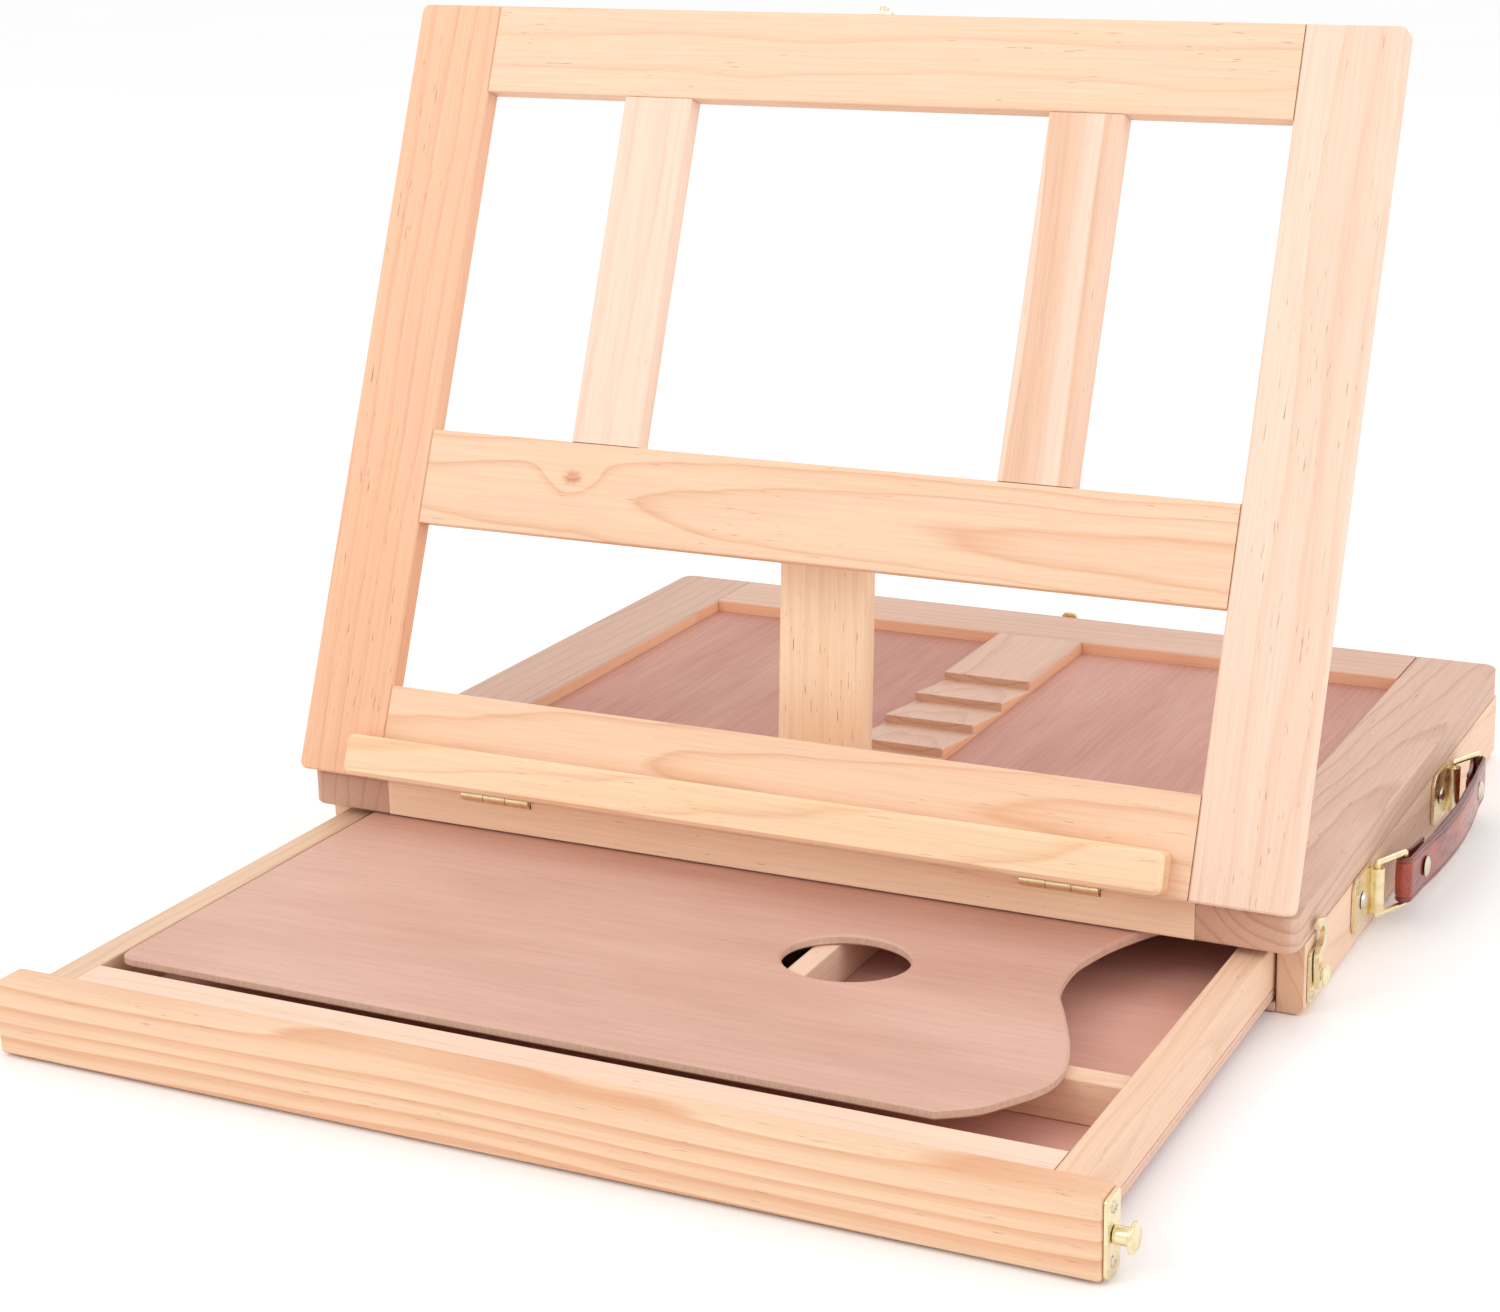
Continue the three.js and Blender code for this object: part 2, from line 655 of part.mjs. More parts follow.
// A rectangular wire ring: one upright in the barrel, the other in the strap's loop.
// It is made lying along +X from the barrel's axis and then turned outwards.
function ring(y) {
  const parts = [];
  for (const x of [0, RING_ARM]) {
    parts.push(rod("z", WIRE_R, -RING_HALF, RING_HALF, WIRE_SIDES).translate(x, 0, 0));
  }
  for (const z of [-RING_HALF, RING_HALF]) {
    parts.push(rod("x", WIRE_R, 0, RING_ARM, WIRE_SIDES).translate(0, 0, z));
    for (const x of [0, RING_ARM]) {
      parts.push(new THREE.SphereGeometry(WIRE_R, WIRE_SIDES, 12).translate(x, 0, z));
    }
  }
  return joined(...parts).rotateZ(RING_ANGLE).translate(BARREL_X, y, HANDLE_Z);
}

HANDLE_BARRELS.forEach((y, i) => {
  const end = i ? "rear" : "front";
  const plate = prism(
    rounded(y - 20, HANDLE_Z - 9, y - 0.5, HANDLE_Z + 9, [4, 0.4, 0.4, 4]),
    "x", SIDE_FACE + 0.2, SIDE_FACE + 1.3,
  );
  const barrel = rod("z", 2.5, HANDLE_Z - BARREL_HALF, HANDLE_Z + BARREL_HALF).translate(BARREL_X, y, 0);
  const bore = rod("z", BORE_R, HANDLE_Z - 20, HANDLE_Z + 20).translate(BARREL_X, y, 0);
  const tab = sharp(
    [SIDE_FACE + 0.5, y - 1.5, HANDLE_Z - BARREL_HALF],
    [SIDE_FACE + 1.3, y, HANDLE_Z + BARREL_HALF],
  );
  const screwHole = rod("x", 1.4, SIDE_FACE - 1, SIDE_FACE + 3, 16).translate(0, y - 11, HANDLE_Z);
  add("handle_bracket_" + end, cut(joined(plate, barrel, tab), bore, screwHole), BRASS);

  const screw = turned([[0, 0], [1.2, 0], [1.2, 1.1], [3, 1.2], [2.4, 2], [0, 2.5]], 20);
  screw.applyMatrix4(TURNS.x).translate(SIDE_FACE + 0.3, y - 11, HANDLE_Z);
  add("bracket_screw_" + end, screw, STEEL);

  add("handle_ring_" + end, ring(y), BRASS);
});

// The strap: a flat band that bows out between the rings and wraps round each ring's upright.
const strapY = HANDLE_BARRELS.map((y) => y + armY);
const LOOP_R = WIRE_R + 0.35;
const STEPS = 18;
const bow = (t) => STRAP_BOW * Math.sin(Math.PI * t) ** 0.9;
const outer = [];
const inner = [];
for (let i = 0; i <= STEPS; i++) {
  const t = i / STEPS;
  const swell = STRAP_T / 2 + 0.5 * Math.sin(Math.PI * t);
  const y = THREE.MathUtils.lerp(strapY[0] + 3.2, strapY[1] - 3.2, t);
  outer.push([armX + bow(t) + swell, y]);
  inner.push([armX + bow(t) - swell, y]);
}
const band = new THREE.Shape();
const loopOut = LOOP_R + 1.5;
band.moveTo(...inner[0]);
for (const p of inner.slice(1)) band.lineTo(...p);
band.absarc(armX, strapY[1], loopOut, Math.PI, 0, true);
for (const p of [...outer].reverse()) band.lineTo(...p);
band.absarc(armX, strapY[0], loopOut, 0, Math.PI, true);
for (const y of strapY) {
  const eye = new THREE.Path();
  eye.absarc(armX, y, LOOP_R, 0, 2 * Math.PI, false);
  band.holes.push(eye);
}
add(
  "handle_strap",
  prism(band, "z", HANDLE_Z - STRAP_W / 2, HANDLE_Z + STRAP_W / 2, 0.5, 10),
  LEATHER,
);
strapY.forEach((y, i) => {
  const inward = i ? -13 : 13;
  const t = inward > 0 ? 0.1 : 0.9;
  const face = armX + bow(t) + STRAP_T / 2 + 0.5 * Math.sin(Math.PI * t) + 0.45;
  const rivet = turned([[0, 0], [3.4, 0], [3.4, 0.35], [2.3, 0.9], [0, 1.05]], 20);
  rivet.applyMatrix4(TURNS.x).translate(face, y + inward, HANDLE_Z);
  add("handle_rivet_" + (i ? "rear" : "front"), rivet, STEEL);
});

export default root;
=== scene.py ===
"""Looks for the tabletop sketch-box easel: woods, plies, brass, leather strap, screws, studio."""
import json
import math

import bmesh
import bpy
from mathutils import Matrix, Vector

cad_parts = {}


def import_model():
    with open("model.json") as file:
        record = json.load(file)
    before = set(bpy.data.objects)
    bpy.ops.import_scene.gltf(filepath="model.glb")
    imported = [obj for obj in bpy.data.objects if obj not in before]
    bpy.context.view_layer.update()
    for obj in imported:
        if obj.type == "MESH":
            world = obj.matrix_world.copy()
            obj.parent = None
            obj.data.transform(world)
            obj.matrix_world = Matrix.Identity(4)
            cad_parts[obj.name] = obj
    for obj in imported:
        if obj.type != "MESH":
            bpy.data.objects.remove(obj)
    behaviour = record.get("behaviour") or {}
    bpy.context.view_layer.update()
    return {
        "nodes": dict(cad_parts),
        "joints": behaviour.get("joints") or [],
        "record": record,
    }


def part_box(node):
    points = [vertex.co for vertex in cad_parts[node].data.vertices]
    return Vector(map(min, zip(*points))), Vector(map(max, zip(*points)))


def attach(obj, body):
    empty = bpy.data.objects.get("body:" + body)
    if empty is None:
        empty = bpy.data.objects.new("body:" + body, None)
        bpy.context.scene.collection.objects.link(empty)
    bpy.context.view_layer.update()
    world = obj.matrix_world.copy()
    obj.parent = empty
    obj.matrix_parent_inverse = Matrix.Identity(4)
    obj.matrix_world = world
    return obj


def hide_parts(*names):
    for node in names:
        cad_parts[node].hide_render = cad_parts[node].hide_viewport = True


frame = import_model()
nodes = frame["nodes"]
MM = 0.001

# The panel and the strut lean; both angles are above horizontal.
joints = {j["name"]: j for j in frame["joints"]}
PANEL_HINGE = Vector(joints["panel_tilt"]["pos_m"])
TILT = math.radians(67.9)
LEAN = math.radians(85.5)
X, Y, Z = Vector((1, 0, 0)), Vector((0, 1, 0)), Vector((0, 0, 1))
PANEL_UP = Vector((0, math.cos(TILT), math.sin(TILT)))
PANEL_OUT = Vector((0, -math.sin(TILT), math.cos(TILT)))
STRUT_UP = Vector((0, math.cos(LEAN), math.sin(LEAN)))


# ------------------------------------------------------------------ shader graph helper
def srgb(r, g, b):
    """An 8-bit sRGB colour as linear RGBA."""
    def lin(c):
        c /= 255
        return c / 12.92 if c <= 0.04045 else ((c + 0.055) / 1.055) ** 2.4
    return (lin(r), lin(g), lin(b), 1)


class Graph:
    """A material's node tree, written as expressions: each call adds a node and returns its output."""

    def __init__(self, name):
        self.mat = bpy.data.materials.new(name)
        self.mat.use_nodes = True
        self.tree = self.mat.node_tree
        self.tree.nodes.clear()
        out = self.tree.nodes.new("ShaderNodeOutputMaterial")
        self.shader = self.tree.nodes.new("ShaderNodeBsdfPrincipled")
        self.tree.links.new(self.shader.outputs[0], out.inputs[0])
        self.coords = self.tree.nodes.new("ShaderNodeTexCoord")
        self.place = self.coords.outputs["Object"]
        self.facing = self.coords.outputs["Normal"]

    def put(self, socket, value):
        if isinstance(value, bpy.types.NodeSocket):
            self.tree.links.new(value, socket)
        elif value is not None:
            socket.default_value = value

    def set(self, **values):
        for name, value in values.items():
            self.put(self.shader.inputs[name.replace("_", " ")], value)

    def math(self, operation, *values, clamp=False):
        n = self.tree.nodes.new("ShaderNodeMath")
        n.operation = operation
        n.use_clamp = clamp
        for socket, value in zip(n.inputs, values):
            self.put(socket, value)
        return n.outputs[0]

    def dot(self, vector, constant):
        n = self.tree.nodes.new("ShaderNodeVectorMath")
        n.operation = "DOT_PRODUCT"
        self.put(n.inputs[0], vector)
        n.inputs[1].default_value = constant
        return n.outputs["Value"]

    def vector(self, x, y, z):
        n = self.tree.nodes.new("ShaderNodeCombineXYZ")
        for socket, value in zip(n.inputs, (x, y, z)):
            self.put(socket, value)
        return n.outputs[0]

    def stretch(self, vector, scale, shift=(0, 0, 0)):
        n = self.tree.nodes.new("ShaderNodeVectorMath")
        n.operation = "MULTIPLY_ADD"
        self.put(n.inputs[0], vector)
        n.inputs[1].default_value = scale
        n.inputs[2].default_value = shift
        return n.outputs[0]

    def noise(self, vector, scale=1.0, detail=2.0, roughness=0.5, distortion=0.0):
        n = self.tree.nodes.new("ShaderNodeTexNoise")
        self.put(n.inputs["Vector"], vector)
        n.inputs["Scale"].default_value = scale
        n.inputs["Detail"].default_value = detail
        n.inputs["Roughness"].default_value = roughness
        n.inputs["Distortion"].default_value = distortion
        return n.outputs[0]

    def cells(self, vector, scale, feature="F1"):
        n = self.tree.nodes.new("ShaderNodeTexVoronoi")
        n.feature = feature
        self.put(n.inputs["Vector"], vector)
        n.inputs["Scale"].default_value = scale
        return n.outputs["Distance"]

    def fade(self, value, low, high, to_low=0.0, to_high=1.0):
        n = self.tree.nodes.new("ShaderNodeMapRange")
        n.interpolation_type = "SMOOTHSTEP"
        self.put(n.inputs["Value"], value)
        for name, v in (("From Min", low), ("From Max", high), ("To Min", to_low), ("To Max", to_high)):
            n.inputs[name].default_value = v
        return n.outputs[0]

    def ramp(self, value, stops):
        n = self.tree.nodes.new("ShaderNodeValToRGB")
        while len(n.color_ramp.elements) < len(stops):
            n.color_ramp.elements.new(1)
        for element, (position, level) in zip(n.color_ramp.elements, stops):
            element.position = position
            element.color = (level, level, level, 1)
        self.put(n.inputs[0], value)
        return n.outputs[0]

    def mix(self, a, b, share, blend="MIX"):
        n = self.tree.nodes.new("ShaderNodeMix")
        n.data_type = "RGBA"
        n.blend_type = blend
        self.put(n.inputs[0], share)
        self.put(n.inputs[6], a)
        self.put(n.inputs[7], b)
        return n.outputs[2]

    def grey(self, value):
        return self.vector(value, value, value)

    def bump(self, height, strength, distance):
        n = self.tree.nodes.new("ShaderNodeBump")
        n.inputs["Strength"].default_value = strength
        n.inputs["Distance"].default_value = distance
        self.put(n.inputs["Height"], height)
        self.put(self.shader.inputs["Normal"], n.outputs[0])


# ------------------------------------------------------------------ wood
# Cycles per millimetre of each noise: along the grain, across it, and into the board.
RING_DRIFT = (0.006, 0.022, 0.022)
RING_SWAY = (0.017, 0.05, 0.05)
TONE = (0.004, 0.03, 0.03)
FIBRE = (0.02, 1.1, 1.1)
FINE_FIBRE = (0.06, 3.2, 3.2)
RESIN_CANAL = (0.13, 1.9, 1.9)
CANAL_GROUP = (0.012, 0.05, 0.05)
# Each board is cut from its own place in those noises, this many millimetres times its number on.
BOARD_SHIFT = Vector((137.0, 71.0, 53.0))

FLECK = srgb(150, 98, 62)
SAWN_END = srgb(196, 140, 100)
KNOT = (srgb(222, 158, 116), srgb(184, 116, 78))
KNOT_STRETCH = 0.7  # knots are drawn out along the grain


def length_of(g, a, b):
    return g.math("SQRT", g.math("ADD", g.math("POWER", a, 2.0), g.math("POWER", b, 2.0)))


def facing_along(g, direction):
    """1 on the faces that look along a direction or against it."""
    return g.fade(g.math("ABSOLUTE", g.dot(g.facing, direction)), 0.75, 0.9)


def ring_radius(g, mm, here, pith, slope, wobble):
    """Distance from the log's centre, pulled about so that flat faces show wavy, arched figures."""
    length, width, depth = mm
    drift = g.noise(g.stretch(here, RING_DRIFT), detail=2)
    sway = g.noise(g.stretch(here, RING_SWAY, (40, 7, 3)), detail=2)
    offset = g.math("MULTIPLY", g.math("SUBTRACT", drift, 0.5), 2.6 * wobble)
    ripple = g.math("MULTIPLY", g.math("SUBTRACT", sway, 0.5), 0.8 * wobble)
    from_pith = g.math("ADD", g.math("SUBTRACT", width, pith[0]), offset)
    under = g.math("SUBTRACT", depth, pith[1])
    under = g.math("ADD", g.math("ADD", under, g.math("MULTIPLY", length, slope)), ripple)
    return length_of(g, from_pith, under)


def knot(g, mm, here, radius, at, across, size):
    """The ring radius with the rings pushed round a knot, and 1 within the knot itself."""
    along = g.math("MULTIPLY", g.math("SUBTRACT", mm[0], at), KNOT_STRETCH)
    away = length_of(g, along, g.math("SUBTRACT", mm[1], across))
    spread = g.math("POWER", g.math("DIVIDE", away, 3.2 * size), 2.0)
    push = g.math("EXPONENT", g.math("MULTIPLY", spread, -1.0))
    ragged = g.math("ADD", away, g.math("MULTIPLY", g.noise(here, 0.9), 1.4))
    pushed = g.math("ADD", radius, g.math("MULTIPLY", push, 2.1 * size))
    return pushed, g.fade(ragged, 0.6 * size, 1.6 * size, 1.0, 0.0)


def wood(name, centre, along, across, light, dark, seed, ring=4.5, contrast=0.55, pith=(10, -38),
         slope=0.0, wobble=7.0, streak=0.10, fleck=0.55, knots=(), warm=0.35, band=0.2, edge=None):
    """Sawn pine as a solid texture: rings about a pith line, fibres and resin flecks along the grain.

    Lengths are in millimetres from the board's centre in its own directions (along, across,
    thickness); pith is where the log's centre runs (across, thickness), slope how fast it climbs
    along the board, and a knot is (along, across, radius). band 0 gives thin dark lines between
    the rings and 1 broad soft bands; edge is the colour pair of the board's narrow sides, painted light
    there.
    """
    g = Graph(name)
    from_centre = g.stretch(g.place, (1, 1, 1), -centre)
    directions = (along, across, along.cross(across))
    mm = [g.math("MULTIPLY", g.dot(from_centre, d), 1000.0) for d in directions]
    here = g.stretch(g.vector(*mm), (1, 1, 1), seed * BOARD_SHIFT)

    radius = ring_radius(g, mm, here, pith, slope, wobble)
    core = None
    for place in knots:
        radius, spot = knot(g, mm, here, radius, *place)
        core = spot if core is None else g.math("MAXIMUM", core, spot)
    uneven = g.noise(g.vector(0.0, 0.0, g.math("MULTIPLY", radius, 0.11)), detail=1)
    rings = g.math("ADD", g.math("DIVIDE", radius, ring), g.math("MULTIPLY", uneven, 1.6))
    bands = ((0.0, 0.06), (0.74 - 0.42 * band, 0.16), (0.84, 0.6 + 0.3 * band), (0.9, 1.0), (0.98, 0.06))
    late = g.ramp(g.math("FRACT", rings), bands)

    fibre = g.noise(g.stretch(here, FIBRE), detail=4, roughness=0.65)
    fine = g.noise(g.stretch(here, FINE_FIBRE, (9, 2, 5)), detail=2)
    grain = g.math("ADD", g.math("MULTIPLY", fibre, 0.65), g.math("MULTIPLY", fine, 0.35))
    dash = g.noise(g.stretch(here, RESIN_CANAL, (3, 8, 1)), detail=1)
    sparse = g.noise(g.stretch(here, CANAL_GROUP, (5, 5, 9)), detail=1)
    flecks = g.math("MULTIPLY", g.fade(dash, 0.70, 0.78), g.fade(sparse, 0.38, 0.6))

    # sawn ends drink more finish: darker, with stronger rings and no flecks
    end = facing_along(g, along)
    tone = g.noise(g.stretch(here, TONE, (1, 6, 2)), detail=3)
    strength = g.math("ADD", contrast, g.math("MULTIPLY", end, 0.35))
    figure = g.math("MULTIPLY", late, strength, clamp=True)
    colour = g.mix(light, dark, figure)
    # painted light: the narrow sides take the edge pair, a highlight on recess walls and frontal light on
    # a front face
    if edge:
        colour = g.mix(colour, g.mix(*edge, figure), facing_along(g, across))
    warmth = g.math("MULTIPLY", g.fade(tone, 0.35, 0.7), warm)
    colour = g.mix(colour, g.mix(colour, dark, 0.6), warmth)
    shade = g.fade(grain, 0.3, 0.7, 1.0 + streak * 0.35, 1.0 - streak)
    colour = g.mix(colour, g.grey(shade), 1.0, "MULTIPLY")
    seen = g.math("MULTIPLY", g.math("SUBTRACT", 1.0, end), fleck)
    colour = g.mix(colour, FLECK, g.math("MULTIPLY", flecks, seen))
    colour = g.mix(colour, g.mix(colour, SAWN_END, 0.55), g.math("MULTIPLY", end, 0.55))
    if core is not None:
        eye = g.math("FRACT", g.math("MULTIPLY", radius, 0.9))
        colour = g.mix(colour, g.mix(*KNOT, eye), g.math("MULTIPLY", core, 0.8))

    g.set(Base_Color=colour, IOR=1.45, Coat_Weight=0.06, Coat_Roughness=0.35)
    g.set(Roughness=g.math("ADD", g.fade(grain, 0.3, 0.7, 0.46, 0.6), g.math("MULTIPLY", end, 0.15)))
    height = g.math("ADD", g.math("MULTIPLY", grain, 0.7), g.math("MULTIPLY", late, 0.3))
    g.bump(g.math("SUBTRACT", height, g.math("MULTIPLY", flecks, 0.8)), 0.35, 0.12 * MM)
    return g.mat


# ------------------------------------------------------------------ plywood
# Cycles per millimetre: along the face grain, across it, and through the sheet.
PLY_CLOUD = (0.005, 0.022, 0.0)
PLY_RIBBON = (0.03, 0.65, 0.0)
PLY_PORE = (0.22, 2.4, 0.0)
PLY_CORE = (1.6, 1.6, 0.4)
SHEET_SHIFT = Vector((91.0, 47.0, 0.0))

PORE = srgb(140, 88, 70)
CORE = (srgb(232, 206, 184), srgb(196, 152, 128))
VENEER_EDGE = srgb(226, 196, 176)


def plywood(name, along, light, dark, seed, low, high, streak=0.05):
    """Thin hardwood ply lying flat: pored face veneer, and a pale cross-grained core at its edges.

    low and high are the board's under and upper side in metres.
    """
    g = Graph(name)
    mm = [g.math("MULTIPLY", g.dot(g.place, d), 1000.0) for d in (along, Z.cross(along), Z)]
    here = g.stretch(g.vector(*mm), (1, 1, 1), seed * SHEET_SHIFT)
    cloud = g.noise(g.stretch(here, PLY_CLOUD), detail=3, roughness=0.6)
    ribbon = g.noise(g.stretch(here, PLY_RIBBON, (4, 1, 2)), detail=4, distortion=0.5)
    pores = g.fade(g.noise(g.stretch(here, PLY_PORE, (2, 9, 4)), detail=2), 0.60, 0.74)
    colour = g.mix(light, dark, g.fade(cloud, 0.3, 0.72))
    shade = g.fade(ribbon, 0.3, 0.7, 1.02, 1.0 - streak)
    colour = g.mix(colour, g.grey(shade), 1.0, "MULTIPLY")
    colour = g.mix(colour, PORE, g.math("MULTIPLY", pores, 0.24))

    # the edge: face veneers over a core whose grain runs the other way
    level = g.math("DIVIDE", g.math("SUBTRACT", mm[2], low / MM), (high - low) / MM)
    core = g.math("MULTIPLY", g.fade(level, 0.24, 0.30), g.fade(level, 0.70, 0.76, 1.0, 0.0))
    core_colour = g.mix(*CORE, g.noise(g.stretch(here, PLY_CORE), detail=2))
    side = g.fade(g.math("ABSOLUTE", g.dot(g.facing, Z)), 0.55, 0.8, 1.0, 0.0)
    edge_colour = g.mix(g.mix(colour, VENEER_EDGE, 0.55), core_colour, core)
    colour = g.mix(colour, edge_colour, side)
    g.set(Base_Color=colour, Roughness=g.fade(ribbon, 0.3, 0.7, 0.5, 0.64), IOR=1.45)
    g.set(Coat_Weight=0.05, Coat_Roughness=0.4)
    g.bump(g.math("SUBTRACT", ribbon, g.math("MULTIPLY", pores, 1.6)), 0.18, 0.1 * MM)
    return g.mat


# ------------------------------------------------------------------ metal and leather
# Cycles per metre of the noises.
METAL_CLOUD = (260, 260, 260)
ROLLING_MARKS = (300, 5200, 5200)
PITS = 2600.0
PEBBLES = 1500.0
CREASES = (500, 160, 900)
MOTTLE = (90, 60, 90)

HIDE = (srgb(172, 70, 50), srgb(128, 44, 32))
HOLLOW = srgb(74, 20, 16)
BURNISHED = srgb(78, 22, 18)


def metal(name, colour, tarnish, roughness):
    """Plated sheet metal: bright, with slow tarnish, rolling marks and fine pits."""
    g = Graph(name)
    cloud = g.noise(g.stretch(g.place, METAL_CLOUD), detail=3)
    marks = g.noise(g.stretch(g.place, ROLLING_MARKS), detail=2)
    pits = g.cells(g.place, PITS)
    g.set(Base_Color=g.mix(colour, tarnish, g.fade(cloud, 0.42, 0.75, 0.0, 0.6)), Metallic=1.0)
    dull = g.fade(cloud, 0.3, 0.7, roughness, roughness + 0.14)
    g.set(Roughness=g.math("ADD", dull, g.math("MULTIPLY", marks, 0.08)))
    g.bump(g.math("ADD", marks, g.math("MULTIPLY", pits, 0.5)), 0.2, 0.03 * MM)
    return g.mat


def leather(name):
    """Glossy red-brown strap leather: fine pebbled grain, darker in the hollows and at the edges."""
    g = Graph(name)
    pebble = g.cells(g.place, PEBBLES, "SMOOTH_F1")
    crease = g.noise(g.stretch(g.place, CREASES), detail=4, roughness=0.6)
    mottle = g.noise(g.stretch(g.place, MOTTLE), detail=3)
    base = g.mix(*HIDE, g.fade(mottle, 0.32, 0.7))
    base = g.mix(base, HOLLOW, g.math("MULTIPLY", g.fade(pebble, 0.35, 0.7), 0.35))
    rim = g.tree.nodes.new("ShaderNodeAttribute")
    rim.attribute_name = "burnish"
    base = g.mix(base, BURNISHED, g.math("MULTIPLY", rim.outputs["Fac"], 0.75))
    g.set(Base_Color=base, Roughness=g.fade(crease, 0.3, 0.7, 0.26, 0.42), IOR=1.5)
    g.set(Coat_Weight=0.45, Coat_Roughness=0.18)
    height = g.math("ADD", g.math("MULTIPLY", pebble, -0.6), g.math("MULTIPLY", crease, 0.5))
    g.bump(height, 0.45, 0.12 * MM)
    return g.mat


# ------------------------------------------------------------------ what each board is made of
# Colours of the boards, light earlywood and darker latewood.
CREAM = (srgb(246, 216, 194), srgb(230, 182, 150))
PEACH = (srgb(243, 193, 158), srgb(224, 156, 114))
HONEY = (srgb(245, 208, 176), srgb(226, 170, 130))
AMBER = (srgb(243, 207, 173), srgb(222, 160, 119))
ROSE = (srgb(217, 180, 158), srgb(188, 144, 120))
# ROSE darkened: painted shade for the left top stile, which lies in shadow
SHADOWED_ROSE = (srgb(207, 170, 150), srgb(178, 136, 114))
WALLS = (srgb(240, 204, 176), srgb(222, 176, 142))
# WALLS darkened: painted shade for the left drawer side, whose wall lies in shadow
SHADOWED_WALLS = (srgb(233, 199, 168), srgb(212, 170, 137))
PALE = (srgb(253, 223, 190), srgb(240, 192, 152))
BUTTER = (srgb(250, 217, 179), srgb(234, 184, 140))

# Each board: its grain's direction, the direction across its face, colours, and its figure.
WOODS = {
    # case frame, seen from above; its edge pairs are painted light on the narrow sides: a painted
    # highlight on the recess walls, and a paler pair for frontal light on the front rail's face
    # the left stile's darker pair is painted shade
    "top_stile_left": (Y, X, SHADOWED_ROSE, dict(ring=5.5, pith=(-150, -30), contrast=0.5, edge=PEACH)),
    "top_stile_right": (Y, X, ROSE, dict(ring=4.5, pith=(15, -30), contrast=0.7, slope=0.05, fleck=0.7)),
    "top_rail_front": (X, Y, CREAM, dict(ring=5.0, pith=(-90, -20), contrast=0.6, slope=0.02, edge=PALE)),
    "top_rail_back": (X, Y, ROSE, dict(ring=5.5, pith=(110, -25), contrast=0.45, edge=PEACH)),
    "notched_rail": (Y, X, ROSE, dict(ring=4.0, pith=(4, -40), contrast=0.5, edge=PEACH)),
    "side_board_left": (Y, Z, WALLS, dict(ring=5.5, pith=(30, -60), contrast=0.5)),
    "side_board_right": (Y, Z, WALLS, dict(ring=6.0, pith=(-20, -50), contrast=0.55, slope=0.05)),
    "back_board": (X, Z, HONEY, dict(ring=5.0, pith=(-18, -40), contrast=0.55, knots=((62, 1, 2.6),))),
    # easel panel
    "panel_stile_left": (PANEL_UP, X, PEACH, dict(ring=6.5, pith=(-190, -20), contrast=0.45, fleck=0.9)),
    "panel_stile_right": (PANEL_UP, X, CREAM, dict(ring=7.5, pith=(220, -40), contrast=0.4, fleck=0.8)),
    "panel_rail_top": (X, PANEL_UP, HONEY, dict(ring=9.0, pith=(160, -45), contrast=0.4, warm=0.5)),
    "panel_rail_middle": (X, PANEL_UP, HONEY, dict(
        ring=4.8, pith=(-2, -9), contrast=0.75, slope=-0.04, wobble=5, knots=((-84, 4, 2.5),))),
    "panel_rail_bottom": (X, PANEL_UP, HONEY, dict(
        ring=4.8, pith=(4, -10), contrast=0.7, slope=-0.045, wobble=5)),
    "panel_muntin_left": (PANEL_UP, X, CREAM, dict(ring=9.0, pith=(-140, -60), contrast=0.3, fleck=0.3)),
    "panel_muntin_right": (PANEL_UP, X, CREAM, dict(
        ring=14, pith=(118, -25), contrast=0.9, wobble=4, band=1)),
    "canvas_ledge": (X, PANEL_UP, BUTTER, dict(
        ring=5.0, pith=(8, -14), contrast=0.65, slope=0.06, wobble=5, fleck=0.4)),
    "strut": (STRUT_UP, X, PALE, dict(ring=6.0, pith=(160, -60), contrast=0.4, fleck=0.85)),
    # drawer
    "drawer_front": (X, Z, AMBER, dict(
        ring=5.2, pith=(-120, 10), contrast=0.8, slope=0.03, wobble=4, band=0.9)),
    "drawer_inner_front": (X, Y, CREAM, dict(ring=6.0, pith=(-100, -60), contrast=0.4)),
    # the left side's darker pair is painted shade
    "drawer_side_left": (Y, X, SHADOWED_WALLS, dict(ring=5.0, pith=(-130, -40), contrast=0.5)),
    "drawer_side_right": (Y, X, WALLS, dict(ring=5.0, pith=(190, -35), contrast=0.5)),
    "drawer_back": (X, Z, WALLS, dict(ring=5.0, pith=(-40, -20), contrast=0.5)),
    "drawer_divider": (X, Z, WALLS, dict(ring=5.0, pith=(-50, -20), contrast=0.5)),
    "drawer_partition": (Y, Z, CREAM, dict(ring=5.0, pith=(-60, -20), contrast=0.4)),
}

# Each sheet of ply: its face grain's direction and colours.
RED_PLY = (srgb(201, 150, 135), srgb(186, 131, 116))
DARK_RED_PLY = (srgb(196, 145, 130), srgb(181, 126, 111))
PINK_PLY = (srgb(219, 177, 160), srgb(205, 158, 141))
# a lighter ply for the drawer bottom: painted light that lifts its shadowed floor
SHADOW_LIFTED_PLY = (srgb(244, 194, 178), srgb(228, 174, 158))
PLIES = {
    "top_panel_left": (Y, DARK_RED_PLY),
    "top_panel_right": (Y, RED_PLY),
    "bottom_board": (X, RED_PLY),
    "drawer_bottom": (X, SHADOW_LIFTED_PLY),
    "palette": (X, PINK_PLY),
}

STEEL = metal("plated_steel", srgb(224, 214, 196), srgb(196, 180, 156), 0.22)
METALS = {
    "brass": metal("pale_brass", srgb(242, 228, 190), srgb(224, 198, 144), 0.14),
    "steel": STEEL,
}
LEATHER = leather("strap_leather")


